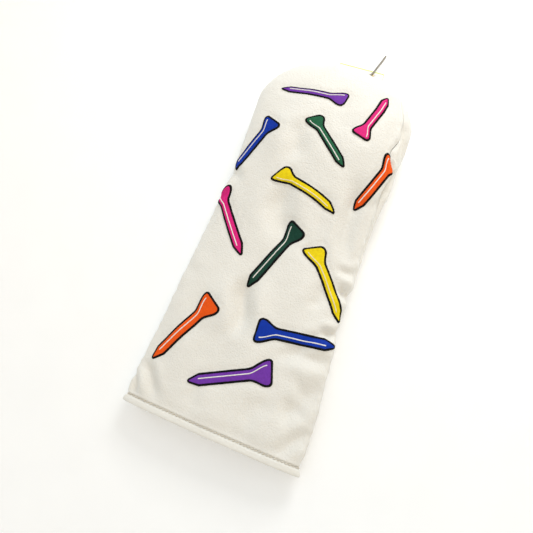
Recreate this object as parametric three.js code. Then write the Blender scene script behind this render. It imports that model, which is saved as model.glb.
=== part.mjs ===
// Golf club headcover: a closed soft sleeve of synthetic leather, embroidered with twelve golf tees,
// lying on its back with a small hang tag under its crown.
// Millimetres. +X runs across the cover, +Y from the open hem to the closed crown, +Z up from the table.
import * as THREE from "three";

// ---------- driving dimensions ----------
const LENGTH = 316;
const HEM_HALF = 71.5;            // half of the flat width at the open end
const NECK_HALF = 63;
const HEAD_HALF = 65.5;
const CROWN_LENGTH = 58;          // length of the rounded closed end
const BODY_LENGTH = LENGTH - CROWN_LENGTH;
const HEM_TOP = 22;               // height of the upper face above the table at the hem
const NECK_RISE = 5;              // how much higher it is at the neck
const HEAD_RISE = 15;             // and how much more at the head
const HEM_LIFT = 2;               // the hem's lower lip stands this far off the table
const HEM_LIFT_LENGTH = 28;
const HEM_MID = 12;               // height of the widest points at the hem
const HEAD_MID = 20;              // and at the head
const SAG = 1.5;                  // extra depth that the table presses flat

// how square the sections and the crown's outline are (1 is an ellipse, less is squarer)
const SECTION_ACROSS = 0.85;
const SECTION_UP = 0.95;
const CROWN_OUTLINE = 0.82;
const CROWN_PROFILE = 0.55;

const SEAM_ROLL = THREE.MathUtils.degToRad(27);   // the cover lies rolled: its right seam shows at the head
const GAP = 0.3;                                  // air between touching pieces
const SEAM_GAP = 0.25;                            // each panel's edge stops this far from the seam line

// inset of each layer's outer and inner face from the outside of the cover
const PANEL = { outer: 0, inner: 1.0 };
const FACING = { outer: 1.5, inner: 2.3 };
const STABILISER = { outer: 1.45, inner: 1.75 };
const FRONT_PADDING = { outer: 2.2, inner: 4.1 };
const BACK_PADDING = { outer: 1.5, inner: 3.4 };
const FRONT_LINING = { outer: 4.6, inner: 6.0 };
const ELASTIC = { outer: 4.1, inner: 4.65 };
const BACK_LINING = { outer: 5.1, inner: 6.5 };

// every layer shares the same rows along the cover, so that their facets lie parallel
const BODY_ROWS = [0, 21, 45, 70, 95, 120, 142, 160, 176, 192, 208, 224, 240, BODY_LENGTH];
const CROWN_ROWS = 5;
const CROWN_END_DEGREES = 82;
const ANGLE_STEPS = 12;           // across one side, from seam to seam
const FACING_SPAN = [0.8, 20];
const LINING_START = 3;
const THREAD_START = 3;
const TOPSTITCH_AT = 5.5;         // distance of the hem stitching from the open edge
const TOPSTITCH_RADIUS = 0.3;
const TOPSTITCH_STANDOFF = 0.75;
const SEAM_THREAD_RADIUS = 0.3;
const SEAM_THREAD_INSET = 2.9;

// embroidery: heights above the leather
const FILL_HEIGHT = [0.6, 1.2];
const OUTLINE_HEIGHT = [0.6, 1.3];
const HIGHLIGHT_HEIGHT = [1.55, 1.9];
const OUTLINE_WIDTH = 1.5;
const HIGHLIGHT_WIDTH = 0.8;

// one tee's outline: widths are shares of its head's width, and places are shares of its length from the tip
const SHANK_SHARE = 0.49;
const TIP_SHARE = 0.38;           // how wide the blunt tip is, as a share of the shank
const TIP_END = 0.14;
const FLARE = [0.72, 0.94];
const HEAD_CORNER = 2.4;          // radius of the head's corners
const HIGHLIGHT_SPAN = [0.13, 0.93];
const HIGHLIGHT_OFFSET = [0.06, 0.28];   // to the left of the middle, on the shank and at the head

// The twelve embroidered tees on the front panel, tip and head centre in flat-pattern millimetres:
// across from the centre line, and along from the hem. bend is the sideways bow of a curved tee.
const TEES = [
  { name: "purple_bottom", colour: "purple", tip: [-26.9, 31], head: [30.3, 59.4], headWidth: 20 },
  { name: "orange_left", colour: "orange", tip: [-60.4, 36.1], head: [-29.5, 93.6], headWidth: 19.6 },
  { name: "blue_lower", colour: "blue", tip: [65, 92.4], head: [7.4, 83.6], headWidth: 19 },
  { name: "yellow_right", colour: "yellow", tip: [63, 110.3], head: [25.2, 156.4], headWidth: 17.5,
    bend: -2 },
  { name: "dark_green", colour: "dark_green", tip: [-11, 111.4], head: [10.1, 168.3], headWidth: 17.6 },
  { name: "pink_left", colour: "pink", tip: [-23.4, 132.6], head: [-63.5, 182.4], headWidth: 18 },
  { name: "yellow_centre", colour: "yellow", tip: [32.6, 185.5], head: [-21.5, 204], headWidth: 16.5,
    bend: -2.8 },
  { name: "orange_right", colour: "orange", tip: [46.7, 194.1], head: [62, 242.7], headWidth: 17.5 },
  { name: "green_upper", colour: "green", tip: [27.6, 221.3], head: [-9, 254.5], headWidth: 15 },
  { name: "blue_left", colour: "blue", tip: [-62, 200.3], head: [-40, 245.4], headWidth: 19.5, bend: 1.2 },
  { name: "pink_upper", colour: "pink", tip: [42.3, 289.9], head: [30.2, 247.7], headWidth: 16 },
  { name: "purple_top", colour: "purple", tip: [-44.4, 275], head: [11.7, 275.5], headWidth: 12.5 },
];

// hang tag, lying on the table under the crown's overhang; its string hole is the swivel point
const TAG_HOLE = new THREE.Vector3(15.2, 172.4, 0);
const TAG_EDGE_BEYOND_HOLE = 3.6;       // from the hole to the card's visible long edge
const TAG_LENGTH = 42;
const TAG_HOLE_FROM_RIGHT = 10.5;
const TAG_DEPTH = 24;
const TAG_TURN = THREE.MathUtils.degToRad(-2.5);
const TAG_CARD_HEIGHT = [0.1, 0.5];
const TAG_FACE_HEIGHT = [0.8, 1.0];
const TAG_BAND_WIDTH = 1.0;             // neon card left bare along the long edge
const TAG_HOLE_RADIUS = 1.9;
const EYELET_OUTER = 1.55;
const EYELET_INNER = 1.0;
const EYELET_HEIGHT = [0.1, 1.2];

// the tag's string: from the crown seam down through the eyelet, and out over the card to its free end
const STRING_RADIUS = 0.55;
const STRING_ROUTE = [
  [10.4, 155.2, 6.4], [10.9, 158.3, 6.3], [11.7, 161.4, 5.9], [12.6, 164.4, 5.2], [13.5, 167.2, 4.3],
  [14.3, 169.7, 3.4], [15.0, 171.9, 2.7], [15.7, 174.1, 2.2], [16.4, 176.4, 1.9], [17.0, 178.8, 1.5],
  [17.6, 181.2, 1.05], [18.1, 183.6, 0.75], [18.7, 186.0, 0.65], [19.3, 188.4, 0.65], [19.9, 190.8, 0.65],
  [20.5, 193.2, 0.65], [21.1, 195.6, 0.65],
];

const COLOURS = {
  leather: [0.86, 0.84, 0.8], lining: [0.83, 0.82, 0.79], foam: [0.8, 0.78, 0.7], stabiliser: [0.9, 0.9, 0.9],
  elastic: [0.9, 0.9, 0.88], thread: [0.88, 0.86, 0.82], outline: [0.012, 0.012, 0.014],
  purple: [0.165, 0.065, 0.37], pink: [0.7, 0.05, 0.26], blue: [0.006, 0.03, 0.27],
  orange: [0.75, 0.15, 0.035],
  yellow: [0.77, 0.62, 0.05], green: [0.026, 0.165, 0.076], dark_green: [0.008, 0.054, 0.033],
  card: [0.8, 0.95, 0.02], face: [0.9, 0.9, 0.9], brass: [0.5, 0.4, 0.2], string: [0.36, 0.33, 0.29],
};

// ---------- the cover's surface ----------
const smooth = (t) => {
  const c = THREE.MathUtils.clamp(t, 0, 1);
  return c * c * (3 - 2 * c);
};
const signedPower = (value, power) => Math.sign(value) * Math.abs(value) ** power;

// A station is a place along the cover: `along` runs from the hem to the start of the crown,
// and then `turn` runs from 0 to a quarter turn over the crown.
const station = (along, turn = 0) => ({ along, turn });

function section({ along, turn }) {
  const hemShare = (1 + Math.cos(Math.PI * THREE.MathUtils.clamp(along / 130, 0, 1))) / 2;
  const headShare = smooth((along - 185) / (BODY_LENGTH - 185));
  const rise = smooth((along - 150) / 100);
  const mid = HEM_MID + smooth(along / 120) + (HEAD_MID - HEM_MID - 1) * rise;
  const top = HEM_TOP + NECK_RISE * smooth(along / 180) + HEAD_RISE * rise;
  const bottom = HEM_LIFT * (1 - smooth(along / HEM_LIFT_LENGTH));
  return {
    half: NECK_HALF + (HEM_HALF - NECK_HALF) * hemShare + (HEAD_HALF - NECK_HALF) * headShare,
    mid,
    up: top - mid,
    down: mid - bottom + SAG,
    bottom,
    outline: Math.cos(turn) ** CROWN_OUTLINE,
    profile: Math.cos(turn) ** CROWN_PROFILE,
    reach: Math.sin(turn) ** CROWN_OUTLINE,
  };
}

// Point at an angle round the section (0 at the right side, a quarter turn on top), `inset` inside its outer face
function coverPoint(angle, place, inset = 0) {
  const s = section(place);
  const c = signedPower(Math.cos(angle), SECTION_ACROSS);
  const h = signedPower(Math.sin(angle), SECTION_UP);
  const depth = (h >= 0 ? s.up : s.down) - inset;
  const z = Math.max(s.mid + depth * h * s.profile, s.bottom * s.profile + inset);
  const y = place.along + (CROWN_LENGTH - inset) * s.reach - LENGTH / 2;
  return new THREE.Vector3((s.half - inset) * s.outline * c, y, z);
}

// how far round the section the seam has rolled, none at the crown's tip
function seamAngle({ along, turn }) {
  const crownShare = 1 - (turn / (Math.PI / 2)) ** 2;
  return SEAM_ROLL * (0.1 + 0.9 * smooth((along - 125) / 85)) * crownShare;
}

// angle that a small distance takes up beside the seam, at a given inset
function edgeAngle(place, distance, inset) {
  const s = section(place);
  const share = Math.min(distance / ((s.up - inset) * s.profile), 0.9);
  return Math.asin(share ** (1 / SECTION_UP));
}

// angles of one side's strip, from its right seam to its left seam; the first and last stop short of the
// seam, and `every` keeps only every second or third angle
function sideAngles(place, side, { edgeGap, every = 1 }, inset) {
  const trim = edgeAngle(place, edgeGap, inset);
  const start = seamAngle(place) + (side === "front" ? 0 : Math.PI);
  return Array.from({ length: ANGLE_STEPS / every + 1 }, (_, i) =>
    start + THREE.MathUtils.clamp((Math.PI * i * every) / ANGLE_STEPS, trim, Math.PI - trim));
}

const bodyPlaces = (from, to, steps) =>
  Array.from({ length: steps + 1 }, (_, i) => station(from + ((to - from) * i) / steps));
const crownPlaces = (untilDegrees, steps) =>
  Array.from({ length: steps }, (_, i) =>
    station(BODY_LENGTH, THREE.MathUtils.degToRad((untilDegrees * (i + 1)) / steps)));
const rows = [...BODY_ROWS.map((along) => station(along)), ...crownPlaces(CROWN_END_DEGREES, CROWN_ROWS)];

// ---------- solids from lattices of points ----------
const key = (p) => `${p.x.toFixed(4)},${p.y.toFixed(4)},${p.z.toFixed(4)}`;

class Surface {
  constructor() {
    this.positions = [];
    this.index = [];
    this.lookup = new Map();
  }

  vertex(p) {
    const name = key(p);
    if (!this.lookup.has(name)) {
      this.lookup.set(name, this.positions.length / 3);
      this.positions.push(p.x, p.y, p.z);
    }
    return this.lookup.get(name);
  }

  triangle(a, b, c) {
    const [i, j, k] = [this.vertex(a), this.vertex(b), this.vertex(c)];
    if (i !== j && j !== k && k !== i) this.index.push(i, j, k);
  }

  quad(a, b, c, d) {
    this.triangle(a, b, c);
    this.triangle(a, c, d);
  }

  geometry() {
    const geometry = new THREE.BufferGeometry();
    geometry.setAttribute("position", new THREE.Float32BufferAttribute(this.positions, 3));
    geometry.setIndex(this.index);
    geometry.computeVertexNormals();
    return geometry;
  }
}

// A closed solid between two lattices of the same size. Its outer face is `outer`; `ringColumns` joins the
// last column to the first, and `ringRows` the last row to the first.
function latticeSolid(outer, inner, { ringColumns = false, ringRows = false } = {}) {
  const surface = new Surface();
  const rowCount = outer.length;
  const columns = outer[0].length;
  const rowSteps = ringRows ? rowCount : rowCount - 1;
  const columnSteps = ringColumns ? columns : columns - 1;
  for (let r = 0; r < rowSteps; r += 1) {
    const next = (r + 1) % rowCount;
    for (let c = 0; c < columnSteps; c += 1) {
      const side = (c + 1) % columns;
      surface.quad(outer[r][c], outer[next][c], outer[next][side], outer[r][side]);
      surface.quad(inner[r][c], inner[r][side], inner[next][side], inner[next][c]);
    }
  }
  if (!ringRows) {
    for (let c = 0; c < columnSteps; c += 1) {
      const side = (c + 1) % columns;
      surface.quad(outer[0][c], outer[0][side], inner[0][side], inner[0][c]);
      const last = rowCount - 1;
      surface.quad(outer[last][c], inner[last][c], inner[last][side], outer[last][side]);
    }
  }
  if (!ringColumns) {
    for (let r = 0; r < rowSteps; r += 1) {
      const next = (r + 1) % rowCount;
      const last = columns - 1;
      surface.quad(outer[r][0], inner[r][0], inner[next][0], outer[next][0]);
      surface.quad(outer[r][last], outer[next][last], inner[next][last], inner[r][last]);
    }
  }
  return surface.geometry();
}

// ---------- shells ----------
// rows of points over one side of the cover; with `closed`, a last row gathers at the crown's tip
function sideLattice(side, places, inset, options) {
  const lattice = places.map((place) =>
    sideAngles(place, side, options, inset).map((angle) => coverPoint(angle, place, inset)));
  if (options.closed) {
    const sign = side === "front" ? 1 : -1;
    const tip = new THREE.Vector3(0, LENGTH / 2 - inset, HEAD_MID + sign * SEAM_GAP);
    lattice.push(lattice[0].map(() => tip));
  }
  return lattice;
}

function sideShell(side, places, layer, options) {
  const outer = sideLattice(side, places, layer.outer, options);
  const inner = sideLattice(side, places, layer.inner, options);
  return latticeSolid(outer, inner);
}

// a band that runs all the way round the inside of the cover
function ringShell([from, to], layer) {
  const options = { edgeGap: SEAM_GAP };
  const lattice = (inset) => bodyPlaces(from, to, 1).map((place) =>
    ["front", "back"].flatMap((side) =>
      sideAngles(place, side, options, inset).map((angle) => coverPoint(angle, place, inset))));
  return latticeSolid(lattice(layer.outer), lattice(layer.inner), { ringColumns: true });
}

// ---------- threads and string ----------
// a round thread along a smooth line through points
function thread(points, radius, { sides, steps }) {
  const section = new THREE.Shape();
  for (let k = 0; k < sides; k += 1) {
    const angle = (2 * Math.PI * k) / sides;
    const corner = [radius * Math.cos(angle), radius * Math.sin(angle)];
    if (k === 0) section.moveTo(...corner);
    else section.lineTo(...corner);
  }
  section.closePath();
  const extrudePath = new THREE.CatmullRomCurve3(points);
  return new THREE.ExtrudeGeometry(section, { steps, extrudePath, bevelEnabled: false });
}

// the hem's stitching goes once round, from the middle of the underside, and its two ends don't quite meet
function topstitchPoints() {
  const place = station(TOPSTITCH_AT);
  const points = 44;
  const endGap = THREE.MathUtils.degToRad(0.3);
  return Array.from({ length: points + 1 }, (_, i) => {
    const turn = endGap + ((2 * Math.PI - 2 * endGap) * i) / points;
    return coverPoint(turn - Math.PI / 2, place, -TOPSTITCH_STANDOFF);
  });
}

// the stitching that joins the panels, up one side, over the crown and down the other
function seamThreadPoints() {
  const places = [station(THREAD_START), ...rows.slice(1)];
  const right = places.map((place) => coverPoint(seamAngle(place), place, SEAM_THREAD_INSET));
  const tip = new THREE.Vector3(0, LENGTH / 2 - SEAM_THREAD_INSET, HEAD_MID);
  const left = places
    .map((place) => coverPoint(seamAngle(place) + Math.PI, place, SEAM_THREAD_INSET))
    .reverse();
  return [...right, tip, ...left];
}

// ---------- flat-pattern coordinates of the front panel ----------
const PROFILE_STEPS = 220;
const profile = (() => {
  const places = Array.from({ length: PROFILE_STEPS + 1 }, (_, i) => {
    const share = (2 * i) / PROFILE_STEPS;
    return share <= 1 ? station(share * BODY_LENGTH) : station(BODY_LENGTH, ((share - 1) * Math.PI) / 2);
  });
  let length = 0;
  return places.map((place, i) => {
    const point = coverPoint(Math.PI / 2, place);
    if (i > 0) length += point.distanceTo(coverPoint(Math.PI / 2, places[i - 1]));
    return { place, length };
  });
})();

function placeAlong(along) {
  const i = Math.max(1, profile.findIndex((entry) => entry.length >= along));
  const [a, b] = [profile[i - 1], profile[i]];
  const t = (along - a.length) / (b.length - a.length);
  const mix = (p, q) => p + (q - p) * t;
  return station(mix(a.place.along, b.place.along), mix(a.place.turn, b.place.turn));
}

// distance and angle round a section, walked from the top centre line towards one side
const WALK_STEP = THREE.MathUtils.degToRad(1.5);
function frontPoint([across, along], lift, seamMargin = 0) {
  const place = placeAlong(along);
  const side = Math.sign(across) || 1;
  const limit = side > 0
    ? seamAngle(place) + edgeAngle(place, seamMargin, 0)
    : Math.PI + seamAngle(place) - edgeAngle(place, seamMargin, 0);
  let angle = Math.PI / 2;
  let left = Math.abs(across);
  let point = coverPoint(angle, place);
  while (left > 1e-6) {
    const step = coverPoint(angle - side * WALK_STEP, place);
    const distance = point.distanceTo(step);
    const share = Math.min(1, left / distance);
    angle -= side * WALK_STEP * share;
    left -= distance * share;
    point = coverPoint(angle, place);
    if (side * (angle - limit) < 0) {
      angle = limit;
      break;
    }
  }
  return coverPoint(angle, place, -lift);
}

// ---------- embroidered tees ----------
const teeLength = (tee) => Math.hypot(tee.head[0] - tee.tip[0], tee.head[1] - tee.tip[1]);

// half width of a tee at a share of its length, from its tip (0) to the rim of its head (1)
function teeHalfWidth(share, tee) {
  const shank = (SHANK_SHARE * tee.headWidth) / 2;
  const fromTip = THREE.MathUtils.clamp(share / TIP_END, 0, 1);
  const taper = TIP_SHARE + (1 - TIP_SHARE) * fromTip * (2 - fromTip);
  const flare = (tee.headWidth / 2 - shank) * smooth((share - FLARE[0]) / (FLARE[1] - FLARE[0]));
  const intoCorner = Math.max(HEAD_CORNER - (1 - share) * teeLength(tee), 0);
  const corner = HEAD_CORNER - Math.sqrt(HEAD_CORNER ** 2 - intoCorner ** 2);
  return shank * taper + flare - corner;
}

// flat-pattern point on a tee, `share` along it and `offset` to its left; a bend bows it most nearer its tip
function teeFlatPoint(tee, share, offset) {
  const tip = new THREE.Vector2(...tee.tip);
  const axis = new THREE.Vector2(...tee.head).sub(tip);
  const left = new THREE.Vector2(-axis.y, axis.x).normalize();
  const bow = (tee.bend ?? 0) * Math.sin(Math.PI * share ** 0.65);
  const point = tip.addScaledVector(axis, share).addScaledVector(left, offset + bow);
  return [point.x, point.y];
}

const TEE_SHARES = [0.06, 0.13, 0.3, 0.5, 0.7, 0.78, 0.86, 0.93];
const SEAM_MARGIN = 1.2;
const FILL_NARROWEST = 0.35;

function teeFill(tee) {
  const margin = OUTLINE_WIDTH + GAP;
  const end = margin / teeLength(tee);
  const lattice = (lift) => [end, ...TEE_SHARES, 1 - end].map((share) => {
    const half = Math.max(teeHalfWidth(share, tee) - margin, FILL_NARROWEST);
    return [-1, -0.5, 0, 0.5, 1].map((side) =>
      frontPoint(teeFlatPoint(tee, share, side * half), lift, SEAM_MARGIN + margin + 2 * GAP));
  });
  return latticeSolid(lattice(FILL_HEIGHT[1]), lattice(FILL_HEIGHT[0]));
}

function teeOutline(tee) {
  const shares = [0, ...TEE_SHARES, 1];
  const length = teeLength(tee);
  const loop = (inwards) => {
    const clipped = shares.map((share) =>
      THREE.MathUtils.clamp(share, inwards / length, 1 - inwards / length));
    const half = clipped.map((share) => Math.max(teeHalfWidth(share, tee) - inwards, 0.5));
    const up = clipped.map((share, i) => teeFlatPoint(tee, share, half[i]));
    const down = clipped.map((share, i) => teeFlatPoint(tee, share, -half[i])).reverse();
    return [...up, teeFlatPoint(tee, clipped.at(-1), 0), ...down];
  };
  const outerLoop = loop(0);
  const innerLoop = loop(OUTLINE_WIDTH);
  const lattice = (lift) => outerLoop.map((flat, i) => [
    frontPoint(innerLoop[i], lift, SEAM_MARGIN + OUTLINE_WIDTH),
    frontPoint(flat, lift, SEAM_MARGIN),
  ]);
  return latticeSolid(lattice(OUTLINE_HEIGHT[1]), lattice(OUTLINE_HEIGHT[0]), { ringRows: true });
}

// a thin line of light thread that runs up the shank, and out towards the head's left corner
function teeHighlight(tee) {
  const steps = 8;
  const [from, to] = HIGHLIGHT_SPAN;
  const [onShank, atHead] = HIGHLIGHT_OFFSET;
  const shares = Array.from({ length: steps + 1 }, (_, i) => from + ((to - from) * i) / steps);
  const lattice = (lift) => shares.map((share) => {
    const flared = smooth((share - FLARE[0]) / (FLARE[1] - FLARE[0]));
    const centre = tee.headWidth * (onShank + (atHead - onShank) * flared);
    return [-0.5, 0.5].map((side) =>
      frontPoint(teeFlatPoint(tee, share, centre + side * HIGHLIGHT_WIDTH), lift, SEAM_MARGIN));
  });
  return latticeSolid(lattice(HIGHLIGHT_HEIGHT[1]), lattice(HIGHLIGHT_HEIGHT[0]));
}

// ---------- hang tag ----------
const localToTag = new THREE.Matrix4()
  .makeTranslation(TAG_HOLE.x, TAG_HOLE.y, 0)
  .multiply(new THREE.Matrix4().makeRotationZ(TAG_TURN));

// a rectangle of card with one round hole, in the tag's own plane with the hole at the middle
function tagSheet(low, high, [bottom, top]) {
  const outline = new THREE.Shape();
  outline.moveTo(low[0], low[1]);
  outline.lineTo(high[0], low[1]);
  outline.lineTo(high[0], high[1]);
  outline.lineTo(low[0], high[1]);
  outline.closePath();
  const hole = new THREE.Path();
  hole.absarc(0, 0, TAG_HOLE_RADIUS, 0, 2 * Math.PI, true);
  outline.holes.push(hole);
  return new THREE.ExtrudeGeometry(outline, { depth: top - bottom, bevelEnabled: false, curveSegments: 8 })
    .translate(0, 0, bottom)
    .applyMatrix4(localToTag);
}

function eyelet() {
  const [low, high] = EYELET_HEIGHT;
  const profilePoints = [[EYELET_INNER, low], [EYELET_OUTER, low], [EYELET_OUTER, high], [EYELET_INNER, high],
    [EYELET_INNER, low]].map(([r, z]) => new THREE.Vector2(r, z));
  return new THREE.LatheGeometry(profilePoints, 16)
    .rotateX(Math.PI / 2)
    .applyMatrix4(localToTag);
}

const tagLeft = TAG_HOLE_FROM_RIGHT - TAG_LENGTH;
const tagFar = TAG_EDGE_BEYOND_HOLE;

// ---------- assembly ----------
const cover = new THREE.Group();

function add(name, geometry, colour, roughness = 0.6, metalness = 0) {
  const material = new THREE.MeshStandardMaterial({
    color: new THREE.Color().setRGB(...COLOURS[colour]),
    roughness,
    metalness,
  });
  const mesh = new THREE.Mesh(geometry, material);
  mesh.name = name;
  cover.add(mesh);
}

const liningRows = [station(LINING_START), ...rows.slice(1)];
const paddingRows = rows.slice(1, -1);
const stabiliserRows = rows.slice(1, -2);
const elasticRows = rows.slice(7, 9);
const panelEdge = { edgeGap: SEAM_GAP, closed: true };
const liningEdge = { edgeGap: 0.4, every: 2, closed: true };
const paddingEdge = { edgeGap: 3 };
const stabiliserEdge = { edgeGap: SEAM_GAP };
const elasticEdge = { edgeGap: 4, every: 2 };

add("front_panel", sideShell("front", rows, PANEL, panelEdge), "leather", 0.5);
add("back_panel", sideShell("back", rows, PANEL, panelEdge), "leather", 0.5);
add("embroidery_stabiliser",
  sideShell("front", stabiliserRows, STABILISER, stabiliserEdge), "stabiliser", 0.9);
add("front_padding", sideShell("front", paddingRows, FRONT_PADDING, paddingEdge), "foam", 0.95);
add("back_padding", sideShell("back", paddingRows, BACK_PADDING, paddingEdge), "foam", 0.95);
add("front_lining", sideShell("front", liningRows, FRONT_LINING, liningEdge), "lining", 0.95);
add("back_lining", sideShell("back", liningRows, BACK_LINING, liningEdge), "lining", 0.95);
add("neck_elastic", sideShell("back", elasticRows, ELASTIC, elasticEdge), "elastic", 0.8);
add("hem_facing", ringShell(FACING_SPAN, FACING), "leather", 0.6);
add("hem_topstitch",
  thread(topstitchPoints(), TOPSTITCH_RADIUS, { sides: 6, steps: 88 }), "thread", 0.7);
add("perimeter_seam_thread",
  thread(seamThreadPoints(), SEAM_THREAD_RADIUS, { sides: 6, steps: 120 }), "thread", 0.7);

for (const tee of TEES) {
  add(`tee_${tee.name}_fill`, teeFill(tee), tee.colour, 0.45);
  add(`tee_${tee.name}_outline`, teeOutline(tee), "outline", 0.45);
  add(`tee_${tee.name}_highlight`, teeHighlight(tee), "thread", 0.45);
}

const tagCorner = [tagLeft, tagFar - TAG_DEPTH];
add("tag_card",
  tagSheet(tagCorner, [TAG_HOLE_FROM_RIGHT, tagFar], TAG_CARD_HEIGHT), "card", 0.6);
add("tag_face",
  tagSheet(tagCorner, [TAG_HOLE_FROM_RIGHT, tagFar - TAG_BAND_WIDTH], TAG_FACE_HEIGHT), "face", 0.5);
add("tag_eyelet", eyelet(), "brass", 0.3, 1);
const stringPoints = STRING_ROUTE.map((p) => new THREE.Vector3(...p));
add("tag_string", thread(stringPoints, STRING_RADIUS, { sides: 8, steps: 16 }), "string", 0.8);

export default cover;
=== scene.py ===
"""Looks of an embroidered golf club headcover lying on its back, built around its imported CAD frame.

Shapes are worked out in millimetres in the row frame (+Y from the open hem to the closed crown, +Z up from
the table) and become metres when a mesh is made.
"""

import math
from collections import namedtuple

import bpy
import numpy as np
from mathutils import Matrix, Vector


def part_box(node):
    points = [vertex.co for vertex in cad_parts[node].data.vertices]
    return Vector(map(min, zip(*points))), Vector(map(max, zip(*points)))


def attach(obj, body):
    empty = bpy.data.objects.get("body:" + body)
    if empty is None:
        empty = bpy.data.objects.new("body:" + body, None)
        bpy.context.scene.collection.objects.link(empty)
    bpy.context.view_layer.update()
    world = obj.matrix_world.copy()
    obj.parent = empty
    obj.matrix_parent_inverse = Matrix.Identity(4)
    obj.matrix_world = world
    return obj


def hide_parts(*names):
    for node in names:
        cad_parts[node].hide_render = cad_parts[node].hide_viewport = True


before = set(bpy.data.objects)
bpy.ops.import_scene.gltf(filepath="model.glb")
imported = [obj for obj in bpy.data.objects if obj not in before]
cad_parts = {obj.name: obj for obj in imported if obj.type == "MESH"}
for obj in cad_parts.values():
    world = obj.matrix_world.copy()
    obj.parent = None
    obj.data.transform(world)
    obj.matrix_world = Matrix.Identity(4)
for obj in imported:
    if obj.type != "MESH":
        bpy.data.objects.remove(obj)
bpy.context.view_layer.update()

MM = 0.001
scene = bpy.context.scene


# ---------- small helpers ----------
def smooth(t):
    t = np.clip(t, 0, 1)
    return t * t * (3 - 2 * t)


def signed_power(value, power):
    return np.sign(value) * np.abs(value) ** power


def bump(distance, width):
    """1 at distance 0, and near 0 two widths away."""
    return np.exp(-((distance / width) ** 2))


def unit(vectors):
    return vectors / np.maximum(np.linalg.norm(vectors, axis=-1, keepdims=True), 1e-9)


def soft_noise(x, y, wavelength, seed):
    """Smooth noise from about -1 to 1: a few sine waves in seeded directions."""
    rng = np.random.default_rng(seed)
    total = 0
    waves = 9
    for _ in range(waves):
        heading, phase = rng.uniform(0, 2 * np.pi, 2)
        number = 2 * np.pi / wavelength * rng.uniform(0.7, 1.35)
        total = total + np.sin(number * (x * np.cos(heading) + y * np.sin(heading)) + phase)
    return total / math.sqrt(waves)


def new_object(name, points, faces, material):
    """A smooth-shaded object from points in millimetres."""
    mesh = bpy.data.meshes.new(name)
    corners = faces.tolist() if isinstance(faces, np.ndarray) else faces
    mesh.from_pydata((np.asarray(points, float).reshape(-1, 3) * MM).tolist(), [], corners)
    mesh.update()
    mesh.shade_smooth()
    mesh.materials.append(material)
    obj = bpy.data.objects.new(name, mesh)
    scene.collection.objects.link(obj)
    return obj


def make_mesh(name, points, faces, material, body="cover", replaces=(), slot=None):
    """An object that rides on a CAD body and stands in for the nodes that it replaces."""
    obj = new_object(name, points, faces, material)
    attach(obj, body)
    if replaces:
        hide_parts(*replaces)
    return obj


def grid_faces(rows, columns, first=0, ring_rows=False, ring_columns=False):
    """Quads of a lattice of points stored row by row, facing the side of (next row) x (next column)."""
    r = np.arange(rows if ring_rows else rows - 1)
    c = np.arange(columns if ring_columns else columns - 1)
    r, c = np.meshgrid(r, c, indexing="ij")
    below, side = (r + 1) % rows, (c + 1) % columns
    quads = np.stack([r * columns + c, below * columns + c, below * columns + side, r * columns + side], -1)
    return quads.reshape(-1, 4) + first


def slab_faces(rows, columns):
    """Faces of a closed slab: an outer lattice, then an inner lattice of the same size."""
    count = rows * columns
    outer = grid_faces(rows, columns)
    inner = grid_faces(rows, columns, count)[:, ::-1]
    rim = np.concatenate([
        np.arange(columns),
        np.arange(1, rows) * columns + columns - 1,
        (rows - 1) * columns + np.arange(columns - 2, -1, -1),
        np.arange(rows - 2, 0, -1) * columns,
    ])
    nxt = np.roll(rim, -1)
    walls = np.stack([rim, nxt, nxt + count, rim + count], -1)
    return np.concatenate([outer, inner, walls])


def joined(first, second):
    """Two meshes, each given as (points, faces), as one."""
    return np.concatenate([first[0], second[0]]), np.concatenate([first[1], second[1] + len(first[0])])


# ---------- camera ----------
CAMERA_AT = Vector((83.6, -104.2, 369.9)) * MM
CAMERA_TILT = math.radians(18.52)      # from straight down
CAMERA_HEADING = math.radians(-48.24)
CAMERA_ROLL = math.radians(-27.83)
CAMERA_LENS = 32.42
CAMERA_SENSOR = 36


def towards_heading(level, up):
    return Vector((math.sin(CAMERA_HEADING) * level, math.cos(CAMERA_HEADING) * level, up))


forward = towards_heading(math.sin(CAMERA_TILT), -math.cos(CAMERA_TILT))
upward = towards_heading(math.cos(CAMERA_TILT), math.sin(CAMERA_TILT))
rightward = forward.cross(upward)
image_right = math.cos(CAMERA_ROLL) * rightward + math.sin(CAMERA_ROLL) * upward
image_up = math.cos(CAMERA_ROLL) * upward - math.sin(CAMERA_ROLL) * rightward
camera_data = bpy.data.cameras.new("camera")
camera_data.lens = CAMERA_LENS
camera_data.sensor_width = CAMERA_SENSOR
camera_data.clip_start = 0.01
camera = bpy.data.objects.new("camera", camera_data)
scene.collection.objects.link(camera)
turn = Matrix((image_right, image_up, -forward)).transposed()
camera.matrix_world = Matrix.Translation(CAMERA_AT) @ turn.to_4x4()
scene.camera = camera


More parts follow.
